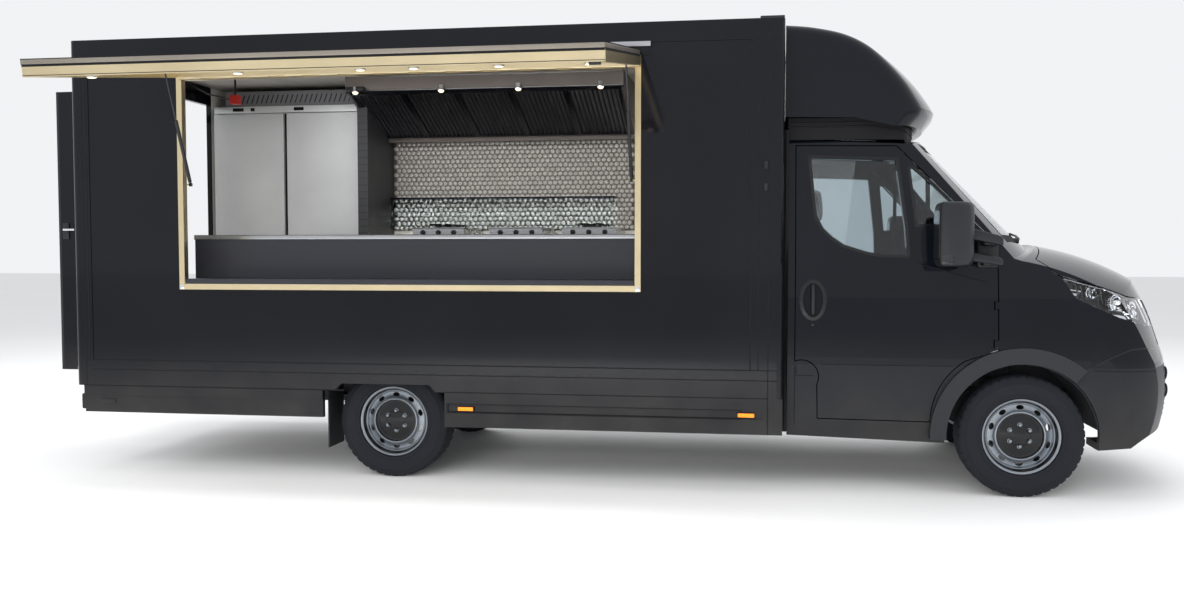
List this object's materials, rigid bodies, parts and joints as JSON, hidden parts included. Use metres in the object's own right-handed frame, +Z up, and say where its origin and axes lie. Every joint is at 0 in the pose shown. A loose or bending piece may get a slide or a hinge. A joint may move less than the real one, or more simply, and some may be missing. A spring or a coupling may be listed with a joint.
{
  "type": "food truck",
  "caption": "Food truck: van cab and box body with a lifted serving hatch lid on gas struts, fitted kitchen, open rear door and a chassis that steers and rolls.",
  "frame": {"origin": "bottom centre of the whole outline, on the ground", "axes": "+X forward, +Y to the truck's left, +Z up; the serving side faces -Y"},
  "size_m": [7.626, 3.8908, 2.8449],
  "materials": {
    "graphite_paint": "gloss",
    "panel_paint": "gloss",
    "matt_black": "matt",
    "gold_frame": "satin",
    "chassis_black": "satin",
    "tyre": "matt",
    "rim_silver": "satin",
    "knuckle_iron": "matt",
    "glass": "gloss",
    "lamp_lens": "gloss",
    "marker_lens": "gloss",
    "slate_paint": "satin",
    "steel": "brushed",
    "lid_paint": "gloss",
    "tile_steel": "brushed",
    "floor_grey": "matt",
    "strut_black": "gloss",
    "strut_rod": "polished",
    "seat_fabric": "woven",
    "dash_plastic": "grained",
    "mirror_black": "matt",
    "tank_plastic": "matt",
    "engine_iron": "matt"
  },
  "bodies": {
    "truck": {"chassis_frame": "chassis_black", "rear_axle": "chassis_black", "front_axle": "chassis_black", "engine": "engine_iron", "driveline": "engine_iron", "fuel_tank": "tank_plastic", "cab_shell": "graphite_paint", "front_bumper": "matt_black", "headlamps": "lamp_lens", "grille": "matt_black", "windscreen": "glass", "arch_trims": "matt_black", "roof_fairing": "graphite_paint", "dashboard": "dash_plastic", "seats": "seat_fabric", "box_frame": "panel_paint", "wall_right": "panel_paint", "wall_left": "panel_paint", "wall_front": "panel_paint", "wall_rear": "panel_paint", "box_roof": "panel_paint", "box_floor": "floor_grey", "skirts": "panel_paint", "hatch_frame": "gold_frame", "serving_shelf": "slate_paint", "front_counter": "slate_paint", "fridge": "steel", "hood": "steel", "service_column": "slate_paint", "splashback": "tile_steel", "back_counter": "steel", "marker_lamps": "marker_lens"},
    "bonnet": {"bonnet": "graphite_paint"},
    "door_right": {"door_right": "graphite_paint", "door_glass_right": "glass", "mirror_right": "mirror_black"},
    "door_left": {"door_left": "graphite_paint", "door_glass_left": "glass", "mirror_left": "mirror_black"},
    "hatch_lid": {"lid_skin": "lid_paint", "lid_rim": "gold_frame"},
    "strut_cylinder_rear": {"strut_cylinder_rear": "strut_black"},
    "strut_cylinder_front": {"strut_cylinder_front": "strut_black"},
    "strut_rod_rear": {"strut_rod_rear": "strut_rod"},
    "strut_rod_front": {"strut_rod_front": "strut_rod"},
    "rear_door": {"rear_door": "panel_paint"},
    "fridge_door_rear": {"fridge_door_rear": "steel"},
    "fridge_door_front": {"fridge_door_front": "steel"},
    "knuckle_right": {"knuckle_right": "knuckle_iron"},
    "knuckle_left": {"knuckle_left": "knuckle_iron"},
    "wheel_front_right": {"tyre_front_right": "tyre", "rim_front_right": "rim_silver"},
    "wheel_front_left": {"tyre_front_left": "tyre", "rim_front_left": "rim_silver"},
    "wheel_rear_right": {"tyre_rear_right": "tyre", "rim_rear_right": "rim_silver"},
    "wheel_rear_left": {"tyre_rear_left": "tyre", "rim_rear_left": "rim_silver"}
  },
  "joints": [
    {"name": "hatch_lid_lift", "type": "hinge", "parent": "truck", "child": "hatch_lid", "pos_m": [-2.29953, -0.50859, 2.5], "axis": [1, 0, 0], "range_deg": [0, 81.2]},
    {"name": "strut_rear_lean", "type": "hinge", "parent": "truck", "child": "strut_cylinder_rear", "pos_m": [-2.23954, -0.44459, 1.84], "axis": [1, 0, 0], "range_deg": [-11.2, 0.5]},
    {"name": "strut_rear_stroke", "type": "slide", "parent": "strut_cylinder_rear", "child": "strut_rod_rear", "axis": [0, -0.3866, 0.9223], "range_m": [-0.259, 0.004]},
    {"name": "strut_front_lean", "type": "hinge", "parent": "truck", "child": "strut_cylinder_front", "pos_m": [0.56347, -0.44459, 1.84], "axis": [1, 0, 0], "range_deg": [-11.2, 0.5]},
    {"name": "strut_front_stroke", "type": "slide", "parent": "strut_cylinder_front", "child": "strut_rod_front", "axis": [0, -0.3866, 0.9223], "range_m": [-0.259, 0.004]},
    {"name": "rear_door_swing", "type": "hinge", "parent": "truck", "child": "rear_door", "pos_m": [-3.06303, 0.51541, 0.545], "axis": [0, 0, 1], "range_deg": [-90, 85]},
    {"name": "cab_door_right_swing", "type": "hinge", "parent": "truck", "child": "door_right", "pos_m": [2.65247, -0.37959, 0.7], "axis": [0, 0, 1], "range_deg": [0, 68]},
    {"name": "cab_door_left_swing", "type": "hinge", "parent": "truck", "child": "door_left", "pos_m": [2.65247, 1.61041, 0.7], "axis": [0, 0, -1], "range_deg": [0, 68]},
    {"name": "bonnet_lift", "type": "hinge", "parent": "truck", "child": "bonnet", "pos_m": [2.79047, 0.61541, 1.372], "axis": [0, -1, 0], "range_deg": [0, 50]},
    {"name": "fridge_door_rear_swing", "type": "hinge", "parent": "truck", "child": "fridge_door_rear", "pos_m": [-2.91853, 1.19041, 0.66], "axis": [0, 0, -1], "range_deg": [0, 90]},
    {"name": "fridge_door_front_swing", "type": "hinge", "parent": "truck", "child": "fridge_door_front", "pos_m": [-1.76053, 1.19041, 0.66], "axis": [0, 0, 1], "range_deg": [0, 90]},
    {"name": "steer_right", "type": "hinge", "parent": "truck", "child": "knuckle_right", "pos_m": [2.81047, -0.18759, 0.353], "axis": [0, 0, 1], "range_deg": [-33, 33]},
    {"name": "wheel_front_right_spin", "type": "hinge", "parent": "knuckle_right", "child": "wheel_front_right", "pos_m": [2.81047, -0.24959, 0.353], "axis": [0, 1, 0], "continuous": true},
    {"name": "wheel_rear_right_spin", "type": "hinge", "parent": "truck", "child": "wheel_rear_right", "pos_m": [-0.94953, -0.24959, 0.353], "axis": [0, 1, 0], "continuous": true},
    {"name": "steer_left", "type": "hinge", "parent": "truck", "child": "knuckle_left", "pos_m": [2.81047, 1.41841, 0.353], "axis": [0, 0, 1], "range_deg": [-33, 33]},
    {"name": "wheel_front_left_spin", "type": "hinge", "parent": "knuckle_left", "child": "wheel_front_left", "pos_m": [2.81047, 1.48041, 0.353], "axis": [0, 1, 0], "continuous": true},
    {"name": "wheel_rear_left_spin", "type": "hinge", "parent": "truck", "child": "wheel_rear_left", "pos_m": [-0.94953, 1.48041, 0.353], "axis": [0, 1, 0], "continuous": true}
  ],
  "couplings": [
    {"joint": "steer_left", "follows": "steer_right", "ratio": 1},
    {"joint": "strut_rear_lean", "follows": "hatch_lid_lift", "ratio": -0.13175},
    {"joint": "strut_rear_stroke", "follows": "hatch_lid_lift", "m_per_rad": -0.1799},
    {"joint": "strut_front_lean", "follows": "hatch_lid_lift", "ratio": -0.13175},
    {"joint": "strut_front_stroke", "follows": "hatch_lid_lift", "m_per_rad": -0.1799}
  ]
}
